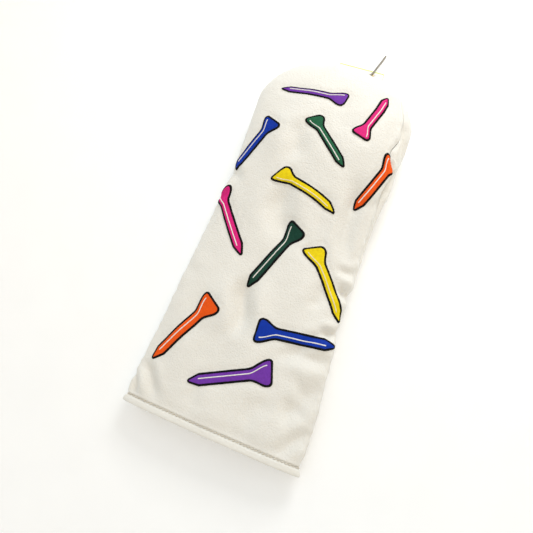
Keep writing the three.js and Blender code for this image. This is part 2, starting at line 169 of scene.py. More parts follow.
# ---------- materials ----------
class Nodes:
    """Short ways to add and join the shader nodes of one material, or of the world."""

    def __init__(self, name, owners=bpy.data.materials, shader="Principled BSDF", place="Object"):
        self.owner = owners.new(name)
        self.owner.use_nodes = True
        self.tree = self.owner.node_tree
        self.shader = self.tree.nodes[shader]
        self.place = self.add("ShaderNodeTexCoord").outputs[place]

    def add(self, kind, **settings):
        node = self.tree.nodes.new(kind)
        for key, value in settings.items():
            if hasattr(node, key):
                setattr(node, key, value)
            else:
                node.inputs[key.replace("_", " ")].default_value = value
        return node

    def join(self, output, target):
        self.tree.links.new(output, target)

    def set(self, **values):
        for key, value in values.items():
            self.shader.inputs[key.replace("_", " ")].default_value = value

    def noise(self, scale, detail=3.0, roughness=0.5):
        node = self.add("ShaderNodeTexNoise", Scale=scale, Detail=detail, Roughness=roughness)
        self.join(self.place, node.inputs["Vector"])
        return node.outputs["Fac"]

    def cells(self, scale, feature="F1", randomness=1.0):
        node = self.add("ShaderNodeTexVoronoi", feature=feature, Scale=scale, Randomness=randomness)
        self.join(self.place, node.inputs["Vector"])
        return node.outputs["Distance"]

    def maths(self, operation, a, b):
        node = self.add("ShaderNodeMath", operation=operation)
        for socket, value in zip(node.inputs, (a, b)):
            if isinstance(value, (int, float)):
                socket.default_value = value
            else:
                self.join(value, socket)
        return node.outputs[0]

    def ramp(self, fac, low, high, start=0.3, end=0.7):
        """A colour (or grey level) that runs from low to high as fac runs from start to end."""
        node = self.add("ShaderNodeMapRange", From_Min=start, From_Max=end)
        self.join(fac, node.inputs["Value"])
        if isinstance(low, (int, float)):
            node.inputs["To Min"].default_value = low
            node.inputs["To Max"].default_value = high
            return node.outputs["Result"]
        mix = self.add("ShaderNodeMix", data_type="RGBA")
        for socket in mix.inputs:
            if socket.type == "RGBA" and socket.name in "AB":
                socket.default_value = (*(low if socket.name == "A" else high), 1)
        self.join(node.outputs["Result"], mix.inputs["Factor"])
        return next(o for o in mix.outputs if o.type == "RGBA")

    def relief(self, height, distance, strength=1.0):
        node = self.add("ShaderNodeBump", Strength=strength, Distance=distance)
        self.join(height, node.inputs["Height"])
        return node.outputs["Normal"]

    def finish(self, colour=None, roughness=None, normal=None):
        for output, name in ((colour, "Base Color"), (roughness, "Roughness"), (normal, "Normal")):
            if output is not None:
                self.join(output, self.shader.inputs[name])
        return self.owner


def srgb(red, green, blue):
    """Linear colour from 8-bit display values."""
    return tuple(v / 12.92 if v <= 0.04045 else ((v + 0.055) / 1.055) ** 2.4
                 for v in (red / 255, green / 255, blue / 255))


def scaled(colour, share):
    return tuple(min(channel * share, 1) for channel in colour)


def leather(name, colour):
    """Fine pebbled synthetic leather: small rounded cells with creases between them."""
    n = Nodes(name)
    pebble = n.cells(900, "SMOOTH_F1", 0.95)
    fine = n.noise(2600, 4, 0.6)
    cloudy = n.noise(28, 3)
    height = n.maths("ADD", n.maths("MULTIPLY", pebble, -0.8), n.maths("MULTIPLY", fine, 0.35))
    normal = n.relief(height, 0.0004, 1.0)
    n.set(Specular_IOR_Level=0.42)
    return n.finish(
        n.ramp(cloudy, scaled(colour, 0.965), colour, 0.35, 0.65),
        n.ramp(pebble, 0.4, 0.56, 0.1, 0.7),
        normal,
    )


def thread(name, colour, gloss=0.5, gloss_level=0.16):
    """Thread with fine fibres: `gloss` is its roughness and `gloss_level` how strongly it shines."""
    n = Nodes(name)
    fibre = n.noise(4200, 4, 0.65)
    patch = n.noise(520, 2)
    n.set(Specular_IOR_Level=gloss_level)
    normal = n.relief(fibre, 0.00009, 0.5)
    shade = n.maths("ADD", n.maths("MULTIPLY", fibre, 0.6), n.maths("MULTIPLY", patch, 0.4))
    return n.finish(
        n.ramp(shade, scaled(colour, 0.78), scaled(colour, 1.14)),
        n.ramp(fibre, gloss, gloss + 0.2),
        normal,
    )


def fabric(name, colour, scale, depth, sheen=0.25):
    """Soft matt fabric or wadding with a tangled surface."""
    n = Nodes(name)
    tangle = n.noise(scale, 5, 0.7)
    n.set(Sheen_Weight=sheen, Sheen_Roughness=0.6, Specular_IOR_Level=0.2)
    return n.finish(
        n.ramp(tangle, scaled(colour, 0.82), colour),
        n.ramp(tangle, 0.85, 0.98),
        n.relief(tangle, depth, 0.8),
    )


def ribbed(name, colour, ribs):
    """Woven elastic: ribs along its length."""
    n = Nodes(name)
    wave = n.add("ShaderNodeTexWave", bands_direction="Y", Scale=ribs, Distortion=0.4)
    n.join(n.place, wave.inputs["Vector"])
    rib = wave.outputs["Fac"]
    fuzz = n.noise(3000, 3)
    height = n.maths("ADD", rib, n.maths("MULTIPLY", fuzz, 0.4))
    return n.finish(
        n.ramp(rib, scaled(colour, 0.8), colour),
        n.ramp(fuzz, 0.7, 0.9),
        n.relief(height, 0.0002, 0.6),
    )


def card(name, colour, gloss):
    """Coated card: nearly smooth, with faint fibres and scuffs."""
    n = Nodes(name)
    fibre = n.noise(1500, 4, 0.6)
    scuff = n.noise(160, 3)
    return n.finish(
        n.ramp(scuff, scaled(colour, 0.94), colour),
        n.ramp(scuff, gloss, gloss + 0.15),
        n.relief(fibre, 0.00003, 0.4),
    )


def brass(name):
    n = Nodes(name)
    tarnish = n.noise(700, 4, 0.6)
    n.set(Metallic=1.0)
    return n.finish(
        n.ramp(tarnish, (0.55, 0.4, 0.16), (0.78, 0.62, 0.3)),
        n.ramp(tarnish, 0.22, 0.42),
        n.relief(tarnish, 0.00003, 0.3),
    )


LEATHER = (0.835, 0.83, 0.785)
shell_leather = leather("shell_leather", LEATHER)
facing_leather = leather("hem_facing_leather", scaled(LEATHER, 0.97))
stabiliser_felt = fabric("stabiliser_felt", (0.88, 0.88, 0.88), 1800, 0.00012)
wadding = fabric("wadding", (0.8, 0.78, 0.7), 420, 0.0006)
plush = fabric("plush", (0.83, 0.81, 0.77), 900, 0.0008, 0.6)
elastic_weave = ribbed("elastic_weave", (0.85, 0.85, 0.83), 260)
hem_thread = thread("hem_thread", (0.76, 0.72, 0.64), 0.45)
seam_thread = thread("seam_thread", (0.8, 0.77, 0.7), 0.45)
THREADS = {
    "purple": thread("thread_purple", srgb(118, 58, 176)),
    "orange": thread("thread_orange", srgb(250, 92, 16)),
    "blue": thread("thread_blue", srgb(4, 54, 172)),
    "yellow": thread("thread_yellow", srgb(252, 222, 16)),
    "dark_green": thread("thread_dark_green", srgb(20, 66, 52)),
    "pink": thread("thread_pink", srgb(228, 38, 132)),
    "green": thread("thread_green", srgb(32, 100, 68)),
    "black": thread("thread_black", (0.004, 0.004, 0.005), 0.55, 0.1),
    "white": thread("thread_white", (0.9, 0.88, 0.85)),
    "cream": thread("thread_cream", (0.88, 0.82, 0.58)),
}
neon_card = card("tag_neon_card", (0.66, 0.84, 0.005), 0.4)
white_card = card("tag_white_card", (0.85, 0.85, 0.84), 0.3)
eyelet_brass = brass("eyelet_brass")
string_cotton = thread("tag_string_cotton", (0.3, 0.275, 0.24), 0.75)


# ---------- tag string ----------
STRING_RADIUS = 0.8
STRING_LAY = 2.6          # length of one full twist of its two plies
STRING_STEP = 0.22
STRING_ROUTE = np.array([
    (10.4, 155.2, 6.4), (10.9, 158.3, 6.3), (11.7, 161.4, 5.9), (12.6, 164.4, 5.2), (13.5, 167.2, 4.3),
    (14.3, 169.7, 3.5), (15.0, 171.9, 2.9), (15.7, 174.1, 2.5), (16.4, 176.4, 2.2), (17.0, 178.8, 2.05),
    (17.6, 181.2, 1.9), (18.1, 183.6, 1.6), (18.7, 186.0, 1.2), (19.3, 188.4, 0.9), (19.9, 190.8, 0.8),
    (20.5, 193.2, 0.8), (21.1, 195.6, 0.8),
])


def along_line(points, step):
    """Points about `step` apart on a smooth line through the given ones."""
    ends = np.concatenate([[2 * points[0] - points[1]], points, [2 * points[-1] - points[-2]]])
    out = []
    for i in range(1, len(ends) - 2):
        p0, p1, p2, p3 = ends[i - 1:i + 3]
        count = max(int(np.linalg.norm(p2 - p1) / step), 1)
        for t in np.arange(count) / count:
            out.append(0.5 * (2 * p1 + (p2 - p0) * t + (2 * p0 - 5 * p1 + 4 * p2 - p3) * t**2
                              + (3 * p1 - p0 - 3 * p2 + p3) * t**3))
    out.append(points[-1])
    return np.array(out)


def plied_tube(points, radius, lay, sides=14):
    """Points and faces of a two-ply twisted string whose ring centres are `points`."""
    tangent = unit(np.gradient(points, axis=0))
    across = unit(np.cross(tangent, (0.1, 0.2, 1.0)))
    up = np.cross(across, tangent)
    length = np.concatenate([[0], np.cumsum(np.linalg.norm(np.diff(points, axis=0), axis=1))])
    angle = np.linspace(0, 2 * np.pi, sides, endpoint=False)
    twist = 2 * np.pi * length / lay
    around = angle[None, :] - twist[:, None]
    size = radius * (0.72 + 0.28 * np.abs(np.cos(around)))
    ends = np.minimum(1, np.sqrt(np.minimum(length, length[-1] - length) / radius) + 0.25)
    size = size * ends[:, None]
    rings = (points[:, None] + across[:, None] * (size * np.cos(angle))[..., None]
             + up[:, None] * (size * np.sin(angle))[..., None])
    faces = grid_faces(len(points), sides, ring_columns=True).tolist()
    faces.append(list(range(sides)))
    last = (len(points) - 1) * sides
    faces.append([last + k for k in range(sides)][::-1])
    return rings, faces


string_line = along_line(STRING_ROUTE, STRING_STEP)
string = make_mesh("hang_string", *plied_tube(string_line, STRING_RADIUS, STRING_LAY), string_cotton,
                   replaces=["tag_string"], slot="tag_string_cotton")


# ---------- the cover's surface, as the CAD has it ----------
low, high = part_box("front_panel")
LENGTH = (high.y - low.y) / MM
HEM_HALF = 71.5
NECK_HALF = 63
HEAD_HALF = 65.5
CROWN_LENGTH = 58
BODY_LENGTH = LENGTH - CROWN_LENGTH
HEM_TOP = 22
NECK_RISE = 5
HEAD_RISE = 15
TAPER_LENGTH = 130        # from the hem to where the body is narrowest
HEAD_FROM = 185           # where it starts to widen again
RISE_FROM = 150           # where its top starts to rise to the head's
RISE_LENGTH = 100
HEM_LIFT = 2
HEM_LIFT_LENGTH = 28
HEM_MID = 12
HEAD_MID = 20
SAG = 1.5
SECTION_ACROSS = 0.85
SECTION_UP = 0.95
CROWN_OUTLINE = 0.82
CROWN_PROFILE = 0.55
SEAM_ROLL = math.radians(27)


def section(along, turn):
    """Sizes of the cross-section at a place along the body, and `turn` round the crown."""
    hem_share = (1 + np.cos(np.pi * np.clip(along / TAPER_LENGTH, 0, 1))) / 2
    head_share = smooth((along - HEAD_FROM) / (BODY_LENGTH - HEAD_FROM))
    rise = smooth((along - RISE_FROM) / RISE_LENGTH)
    mid = HEM_MID + smooth(along / 120) + (HEAD_MID - HEM_MID - 1) * rise
    top = HEM_TOP + NECK_RISE * smooth(along / 180) + HEAD_RISE * rise
    bottom = HEM_LIFT * (1 - smooth(along / HEM_LIFT_LENGTH))
    half = NECK_HALF + (HEM_HALF - NECK_HALF) * hem_share + (HEAD_HALF - NECK_HALF) * head_share
    away = np.maximum(np.cos(turn), 1e-6)
    return {
        "half": half, "mid": mid, "up": top - mid, "down": mid - bottom + SAG, "bottom": bottom,
        "outline": away**CROWN_OUTLINE, "profile": away**CROWN_PROFILE,
        "reach": np.sin(turn)**CROWN_OUTLINE,
    }


def cover_point(angle, along, turn, inset=0.0):
    """Point at an angle round the section: 0 at the right side, a quarter turn on top."""
    s = section(along, turn)
    c = signed_power(np.cos(angle), SECTION_ACROSS)
    h = signed_power(np.sin(angle), SECTION_UP)
    depth = np.where(h >= 0, s["up"], s["down"]) - inset
    z = np.maximum(s["mid"] + depth * h * s["profile"], s["bottom"] * s["profile"] + inset)
    y = along + (CROWN_LENGTH - inset) * s["reach"] - LENGTH / 2
    x = (s["half"] - inset) * s["outline"] * c
    return np.stack(np.broadcast_arrays(x, y, z), -1)


def seam_angle(along, turn):
    """How far round the section the seam has rolled, none at the crown's tip."""
    return SEAM_ROLL * (0.1 + 0.9 * smooth((along - 125) / 85)) * (1 - (turn / (np.pi / 2))**2)


# rows along the cover, spaced by the length walked over its top centre line, and closer together at the hem
ROW_STEP = 1.15
HEM_ROW_STEP = 0.4
HEM_ROWS_TO = 10
PROFILE_STEPS = 1200
share = np.linspace(0, 2, PROFILE_STEPS + 1)
profile_along = np.minimum(share, 1) * BODY_LENGTH
profile_turn = np.clip(share - 1, 0, 1) * np.pi / 2
profile_points = cover_point(np.pi / 2, profile_along, profile_turn)
profile_length = np.concatenate([[0], np.cumsum(np.linalg.norm(np.diff(profile_points, axis=0), axis=1))])
row_length = np.concatenate([
    np.arange(0, HEM_ROWS_TO, HEM_ROW_STEP),
    np.linspace(HEM_ROWS_TO, profile_length[-1], int((profile_length[-1] - HEM_ROWS_TO) / ROW_STEP))])
ROWS = len(row_length)
row_share = np.interp(row_length, profile_length, share)
row_along = np.minimum(row_share, 1) * BODY_LENGTH
row_turn = np.clip(row_share - 1, 0, 1) * np.pi / 2
row_seam = seam_angle(row_along, row_turn)
# the seam drops towards the table at the neck, and swings up where the right-hand tee runs under it; each
# swing has its degrees, the length along the cover where it is widest, and how far it spreads
for swing, length_at, spread in ((-14, 200, 32), (-7, 228, 9), (8, 246, 9)):
    row_seam += np.radians(swing) * bump(row_length - length_at, spread)
row_seam = np.maximum(row_seam, 0)

# distance walked round each row from its top centre, towards +X and towards -X
RING_STEPS = 720
ring_angle = np.linspace(-np.pi / 2, 3 * np.pi / 2, RING_STEPS + 1)
ring_points = cover_point(ring_angle[None, :], row_along[:, None], row_turn[:, None])
ring_walk = np.concatenate([
    np.zeros((ROWS, 1)), np.cumsum(np.linalg.norm(np.diff(ring_points, axis=1), axis=2), axis=1)], axis=1)
ring_across = ring_walk[:, RING_STEPS // 2:RING_STEPS // 2 + 1] - ring_walk
ACROSS_LIMIT = 100
ACROSS_STEP = 0.5
across_axis = np.arange(-ACROSS_LIMIT, ACROSS_LIMIT + ACROSS_STEP, ACROSS_STEP)
angle_of_across = np.array([
    np.interp(across_axis, walked[::-1], ring_angle[::-1]) for walked in ring_across])


def sampled(table, row, column):
    """Values of a table between its entries, at fractional rows and columns."""
    row = np.clip(row, 0, table.shape[0] - 1.001)
    column = np.clip(column, 0, table.shape[1] - 1.001)
    r, c = row.astype(int), column.astype(int)
    u, v = row - r, column - c
    if table.ndim == 3:
        u, v = u[..., None], v[..., None]
    return ((1 - u) * ((1 - v) * table[r, c] + v * table[r, c + 1])
            + u * ((1 - v) * table[r + 1, c] + v * table[r + 1, c + 1]))


# ---------- embroidered tees: their outline in flat-pattern millimetres ----------
# tip and head are across from the centre line and along from the hem; bend bows a tee sideways, and slant
# leans the end of its head
Tee = namedtuple("Tee", "name colour tip head width bend slant", defaults=(0, 0))
TEES = [
    Tee("purple_bottom", "purple", (-26.9, 31), (30.3, 59.4), 20, slant=0.11),
    Tee("orange_left", "orange", (-60.4, 36.1), (-29.5, 93.6), 19.6, slant=0.1),
    Tee("blue_lower", "blue", (65.5, 92.4), (7.4, 83.6), 19, slant=0.11),
    Tee("yellow_right", "yellow", (63.4, 109.9), (25.2, 156.4), 17.5, bend=-2, slant=0.23),
    Tee("dark_green", "dark_green", (-11, 111.4), (10.1, 168.3), 17.6, slant=0.15),
    Tee("pink_left", "pink", (-23.4, 132.6), (-65, 182.4), 18, slant=0.1),
    Tee("yellow_centre", "yellow", (32.6, 185.5), (-21.5, 204.2), 16.5, bend=-2.8, slant=0.33),
    Tee("orange_right", "orange", (46.7, 194.1), (62, 242.7), 17.5, slant=0.1),
    Tee("green_upper", "green", (27.6, 221.3), (-9, 254.5), 15, slant=0.32),
    Tee("blue_left", "blue", (-62, 200.3), (-40, 245.4), 19.5, bend=1.2),
    Tee("pink_upper", "pink", (42.3, 289.9), (30.2, 247.7), 16),
    Tee("purple_top", "purple", (-44.4, 275), (11.7, 275.5), 12.5, slant=0.2),
]
SHANK_SHARE = 0.49
TIP_SHARE = 0.22
TIP_END = 0.14
FLARE = (0.72, 0.94)
TIP_CORNER = 0.9
TIP_ROUND = 0.85          # power that bulges the tip's taper
BOW_POWER = 0.65          # below 1, a bowed tee bows most nearer to its tip
HEAD_CORNER = 3.3


def tee_length(tee):
    return math.dist(tee.tip, tee.head)


def corner_loss(distance, radius):
    into = np.maximum(radius - distance, 0)
    return radius - np.sqrt(np.maximum(radius**2 - into**2, 0))


def flared(share):
    return smooth((share - FLARE[0]) / (FLARE[1] - FLARE[0]))


def tee_half_width(tee, share):
    """Half width at a share of the tee's length, from its tip (0) to the rim of its head (1)."""
    shank = SHANK_SHARE * tee.width / 2
    from_tip = np.clip(share / TIP_END, 0, 1)
    taper = TIP_SHARE + (1 - TIP_SHARE) * from_tip**TIP_ROUND
    half = shank * taper + (tee.width / 2 - shank) * flared(share)
    length = tee_length(tee)
    tip_corner = min(TIP_CORNER, 0.95 * TIP_SHARE * shank)
    return half - corner_loss((1 - share) * length, HEAD_CORNER) - corner_loss(share * length, tip_corner)


def tee_point(tee, share, offset):
    """Flat-pattern point `share` along a tee and `offset` to the left of its middle."""
    tip, head = np.array(tee.tip, float), np.array(tee.head, float)
    axis = unit(head - tip)
    left = np.array([-axis[1], axis[0]])
    bow = tee.bend * np.sin(np.pi * np.clip(share, 0, 1)**BOW_POWER)
    lean = tee.slant * offset * flared(share)
    return tip + (share * tee_length(tee) + lean)[..., None] * axis + (offset + bow)[..., None] * left


def distance_to_tees(across, along):
    """Rough distance outside the nearest tee's outline; negative within it."""
    nearest = np.full(np.shape(across), 99.0)
    for tee in TEES:
        tip, head = np.array(tee.tip, float), np.array(tee.head, float)
        axis = unit(head - tip)
        length = tee_length(tee)
        dx, dy = across - tip[0], along - tip[1]
        run = dx * axis[0] + dy * axis[1]
        share = np.clip(run / length, 0, 1)
        offset = -dx * axis[1] + dy * axis[0] - tee.bend * np.sin(np.pi * share**BOW_POWER)
        beyond = np.maximum(np.maximum(-run, run - length), 0)
        sideways = np.abs(offset) - tee_half_width(tee, np.clip(share, 0.03, 0.97))
        distance = np.where(beyond > 0, np.hypot(beyond, np.maximum(sideways, 0)), sideways)
        nearest = np.minimum(nearest, distance)
    return nearest


# ---------- folds and wrinkles of the soft shell ----------
# each fold runs from one flat-pattern point to another, with its width and depth
FOLDS = [
    ((-13, 116), (-4, 76), 7.0, 3.4),
    ((-14, 198), (3, 148), 10.0, 2.7),
    ((41, 216), (51, 152), 6.5, 2.0),
    ((-13, 250), (-16, 215), 9.0, 1.6),
    ((45, 132), (42, 112), 6.0, 0.9),
    ((70, 150), (48, 146), 3.2, 1.3),
    ((76, 131), (55, 133), 4.0, 4.2),
    ((76, 106), (52, 97), 3.6, 2.8),
    ((54, 98), (38, 80), 4.5, 1.1),
    ((72, 82), (28, 74), 5.5, 1.7),
    ((70, 60), (50, 50), 8.0, 1.5),
    ((60, 46), (46, 32), 8.0, 1.5),
    ((74, 32), (48, 9), 5.5, 1.8),
    ((-67, 33), (-44, 12), 4.5, 2.0),
    ((-74, 25), (-62, 8), 3.5, 1.8),
    ((62, 274), (72, 243), 2.8, 2.0),
    ((74, 243), (61, 204), 3.2, 2.8),
    ((80, 212), (58, 200), 4.0, 1.0),
    ((-76, 205), (-50, 190), 5.0, 1.2),
    ((-78, 172), (-54, 178), 4.0, 1.0),
    ((-70, 118), (-50, 104), 6.0, 0.4),
    ((-30, 60), (-50, 100), 9.0, 0.7),
    ((20, 20), (34, 40), 7.0, 0.9),
    ((-10, 14), (-24, 26), 7.0, 0.8),
]
FOLD_GAIN = 1.8
EDGE_FOLDS = 0.32         # share of a fold's depth that is left where the cover turns down at its sides
SHOULDER = 0.3            # height of the rounded shoulders beside a fold, as a share of its depth


def fold_relief(across, along):
    total = np.zeros(np.shape(across))
    for (a0, l0), (a1, l1), width, depth in FOLDS:
        run = np.array([a1 - a0, l1 - l0], float)
        length = np.hypot(*run)
        run /= length
        dx, dy = across - a0, along - l0
        place = (dx * run[0] + dy * run[1]) / length
        wander = 0.18 * width * np.sin(2.3 * np.pi * place + a0)
        away = -dx * run[1] + dy * run[0] + wander
        strength = smooth((place + 0.15) / 0.5) * smooth((1.15 - place) / 0.5)
        shape = SHOULDER * bump(np.abs(away) - 1.8 * width, width) - bump(away, width)
        total += FOLD_GAIN * strength * depth * shape
    return total


HEM_BAND = 4.7            # width of the turned band at the open edge
HEM_BAND_HEIGHT = 0.5
STITCH_LINE = 5.7
TROUGH_WIDTH = 0.85
TROUGH_DEPTH = 1.6
HEM_EDGE_ROUND = 0.55     # how far the very edge is rounded back


def hem_relief(along):
    """The turned hem: its band, the rounded edge, and the stitches' trough with the slope beyond it."""
    band = HEM_BAND_HEIGHT * (1 - smooth((along - HEM_BAND + 0.6) / 1.1))
    trough = TROUGH_DEPTH * bump(along - STITCH_LINE, TROUGH_WIDTH)
    slope = 1.2 * bump(along - STITCH_LINE - 2.5, 5.0)
    return band - HEM_EDGE_ROUND * bump(along, 0.8) - trough - slope


SWELLS = ((0.6, 52, 3), (0.1, 21, 4))  # height, wavelength and seed of the broad ripples
SWELL_UNDER = 0.3         # share of them that is left on the underside
FOLDS_FROM_SINE = 0.55    # folds fade out below the side, at this sine of the angle
NECK_AT = 168
NECK_SPREAD = 17
GATHER_PITCH = 6.5
GATHER_HEIGHT = (0.12, 0.6)  # on top, and how much more underneath
TEE_SINK = 0.4            # how far the stitching pulls the leather down beside a tee
TEE_PUCKER = 0.05
# how far each side of the cover bulges out past the CAD's, at lengths along the cover
SIDE_ALONG = np.array([0, 34, 66, 85, 108, 130, 150, 174, 198, 219, 241, 262, 275, 288, 300, 340])
LEFT_OUT = np.array([0, 0, 1.6, 2.6, 2.6, 2.3, 2.0, 1.3, -2.0, -2.4, -2.5, -1.2, 0, -0.8, -1.0, -1.0])
RIGHT_OUT = np.array([0.3, 0.3, 0.3, 1.5, -0.4, -0.6, 0, -0.4, -1.0, 0.2, 1.2, 1.0, 0.8, -1.6, -1.2, -0.8])


def shell_relief(angle, across, along):
    """How far the outer face stands out from the CAD's surface, all round the cover."""
    above = smooth((np.sin(angle) + FOLDS_FROM_SINE) / 0.5)
    facing_up = EDGE_FOLDS + (1 - EDGE_FOLDS) * smooth(np.sin(angle) / 0.6)
    relief = fold_relief(across, along) * above * facing_up
    swell = sum(height * soft_noise(across, along, wavelength, seed) for height, wavelength, seed in SWELLS)
    relief += swell * (SWELL_UNDER + (1 - SWELL_UNDER) * above)
    relief += 0.02 * soft_noise(across, along, 8, 5)
    gathers = np.sin(2 * np.pi * across / GATHER_PITCH + 1.6 * soft_noise(across, along, 30, 6))
    gather_height = GATHER_HEIGHT[0] + GATHER_HEIGHT[1] * (1 - above)
    relief += gathers * bump(along - NECK_AT, NECK_SPREAD) * gather_height
    distance = distance_to_tees(across, along)
    relief -= TEE_SINK * bump(distance - 0.8, 2.2) * (distance > -3)
    relief += TEE_PUCKER * soft_noise(across, along, 5.5, 7) * np.exp(-np.maximum(distance, 0) / 5)
    fade = smooth(along / 12)
    return relief * (0.25 + 0.75 * fade) + hem_relief(along)


GROOVE_WIDTH = 2.2
GROOVE_DEPTH = 1.0
SEAM_TRIM = 0.003         # each panel stops this share of its width short of the seam line
COLUMNS = 151
TIP_FADE = 10
EVEN_SHARE = 0.35         # how far a trimmed layer's columns are evened out by distance walked
SEAM_PUCKER = 0.22
SEAM_LIP = 0.3            # height of the soft lip on both sides of the groove
CROWN_PULL = 3.2          # how far the crown's end is pushed back, over the hang tag
CROWN_PULL_FROM = (285, -45)  # length along the cover, and x, where the push starts
CROWN_PULL_OVER = 25


def normals_of(points):
    """Outward normals of a lattice whose rows run from the hem to the crown."""
    normals = unit(np.cross(np.gradient(points, axis=0), np.gradient(points, axis=1)))
    normals[-2:] = (0, 1, 0)
    return normals


class Side:
    """One side of the cover: the front (first_angle 0) from its right seam to its left seam, or the back
    (a half turn) on round from there. It keeps the shaped outer face, and can place layers under it."""

    def __init__(self, first_angle):
        self.first_angle = first_angle
        part = np.linspace(SEAM_TRIM, 1 - SEAM_TRIM, COLUMNS)
        self.angle = row_seam[:, None] + first_angle + np.pi * part[None, :]
        self.along, self.turn = row_along[:, None], row_turn[:, None]
        base = cover_point(self.angle, self.along, self.turn)
        self.direction = normals_of(base)
        folded = np.mod(self.angle + np.pi / 2, 2 * np.pi) - np.pi / 2
        across = np.array([np.interp(a, ring_angle, w) for a, w in zip(folded, ring_across)])
        self.length = np.broadcast_to(row_length[:, None], across.shape)
        steps = np.linalg.norm(np.diff(base, axis=1), axis=2)
        walked = np.concatenate([np.zeros((ROWS, 1)), np.cumsum(steps, axis=1)], axis=1)
        self.to_seam = np.minimum(walked, walked[:, -1:] - walked)
        self.walked = walked
        relief = shell_relief(folded, across, self.length)
        uneven = soft_noise(self.length + 40 * first_angle, 0 * self.length, 7.5, 8)
        pucker = SEAM_PUCKER * uneven * bump(self.to_seam - 2.6, 2.4)
        lip = SEAM_LIP * bump(self.to_seam - 3.2, 1.8)
        seam = lip + pucker - GROOVE_DEPTH * bump(self.to_seam, GROOVE_WIDTH)
        to_tip = row_length[-1] - self.length
        self.relief = (relief + seam * smooth(self.length / 6)) * smooth(to_tip / TIP_FADE)
        sideways = np.cos(folded)
        reach = np.where(sideways < 0, -np.interp(self.length, SIDE_ALONG, LEFT_OUT),
                         np.interp(self.length, SIDE_ALONG, RIGHT_OUT))
        self.shift = reach * np.abs(sideways) ** 0.8
        past_length, past_x = self.length - CROWN_PULL_FROM[0], base[..., 0] - CROWN_PULL_FROM[1]
        self.pull = CROWN_PULL * smooth(past_length / CROWN_PULL_OVER) * smooth(past_x / CROWN_PULL_OVER)
        self.outer = self.layer(0)
        self.normal = normals_of(self.outer)

    def layer(self, inset):
        """The lattice that lies `inset` under the outer face."""
        points = cover_point(self.angle, self.along, self.turn, inset)
        points += self.direction * self.relief[..., None]
        points[..., 0] += self.shift
        points[..., 1] -= self.pull
        points[..., 2] = np.maximum(points[..., 2], inset)
        return points

    def row_at(self, length):
        return np.interp(length, row_length, np.arange(ROWS))

    def slab(self, outer, inner, span, edge=0, skip=1):
        """Points and faces of a closed layer between two insets, over a span of lengths along the cover."""
        rows = np.arange(0, ROWS, skip)
        rows = rows[(row_length[rows] >= span[0]) & (row_length[rows] <= span[1])]
        share = np.linspace(0, 1, (COLUMNS - 1) // skip + 1)
        trim = np.minimum(edge / np.maximum(self.walked[rows, -1], 1), 0.45)[:, None]
        part = trim + (1 - 2 * trim) * share
        column = part * (COLUMNS - 1)
        if edge:
            evenly_walked = np.array([
                np.interp(p * w[-1], w, np.arange(COLUMNS)) for p, w in zip(part, self.walked[rows])])
            column = evenly_walked * EVEN_SHARE + column * (1 - EVEN_SHARE)
        row = np.broadcast_to(rows[:, None].astype(float), column.shape)
        lattices = [sampled(self.layer(inset), row, column) for inset in (outer, inner)]
        return np.concatenate([p.reshape(-1, 3) for p in lattices]), slab_faces(len(rows), len(share))


front_side = Side(0)
back_side = Side(np.pi)


# ---------- shell, linings and padding ----------
PANEL_THICKNESS = 1.0
BACKING_SPAN = (21, 300)  # from and to these lengths along the cover
PADDING_SPAN = (21, 305)
WHOLE_SPAN = (0, row_length[-1])
LINING_SPAN = (3, row_length[-1])
ELASTIC_SPAN = (160, 176)
ELASTIC_EDGE = 7
FACING_SPAN = (0.3, 20)


# piece, side, material, slot, replaced node, insets of its two faces, span, trim at its edges, and how many
# rows and columns of the surface go to one of its own
for name, side, material, slot, node, outer, inner, span, edge, skip in (
        ("front_leather", front_side, shell_leather, "shell_leather", "front_panel",
         0, PANEL_THICKNESS, WHOLE_SPAN, 0, 1),
        ("back_leather", back_side, shell_leather, "shell_leather", "back_panel",
         0, PANEL_THICKNESS, WHOLE_SPAN, 0, 1),
        ("embroidery_backing", front_side, stabiliser_felt, "stabiliser", "embroidery_stabiliser",
         1.45, 1.75, BACKING_SPAN, 0.3, 3),
        ("front_wadding", front_side, wadding, "padding", "front_padding", 2.2, 4.1, PADDING_SPAN, 3, 3),
        ("back_wadding", back_side, wadding, "padding", "back_padding", 1.5, 3.4, PADDING_SPAN, 3, 3),
        ("front_plush_lining", front_side, plush, "plush_lining", "front_lining",
         4.6, 6.0, LINING_SPAN, 0.4, 2),
        ("back_plush_lining", back_side, plush, "plush_lining", "back_lining", 5.1, 6.5, LINING_SPAN, 0.4, 2),
        ("neck_elastic_strip", back_side, elastic_weave, "elastic", "neck_elastic",
         4.1, 4.65, ELASTIC_SPAN, ELASTIC_EDGE, 1)):
    layer = side.slab(outer, inner, span, edge, skip)
    make_mesh(name, *layer, material, replaces=[node], slot=slot)
facing_slabs = [side.slab(1.03, 2.0, FACING_SPAN) for side in (front_side, back_side)]
make_mesh("hem_turned_facing", *joined(*facing_slabs), facing_leather,
                                 replaces=["hem_facing"], slot="hem_facing_leather")


# ---------- stitches ----------
STITCH_PITCH = 2.8
STITCH_HALF_LENGTH = 1.15
STITCH_SLANT = 0.55       # how far a stitch's end lies off the stitch line
STITCH_RADIUS = 0.42
STITCH_LIFT = 1.0


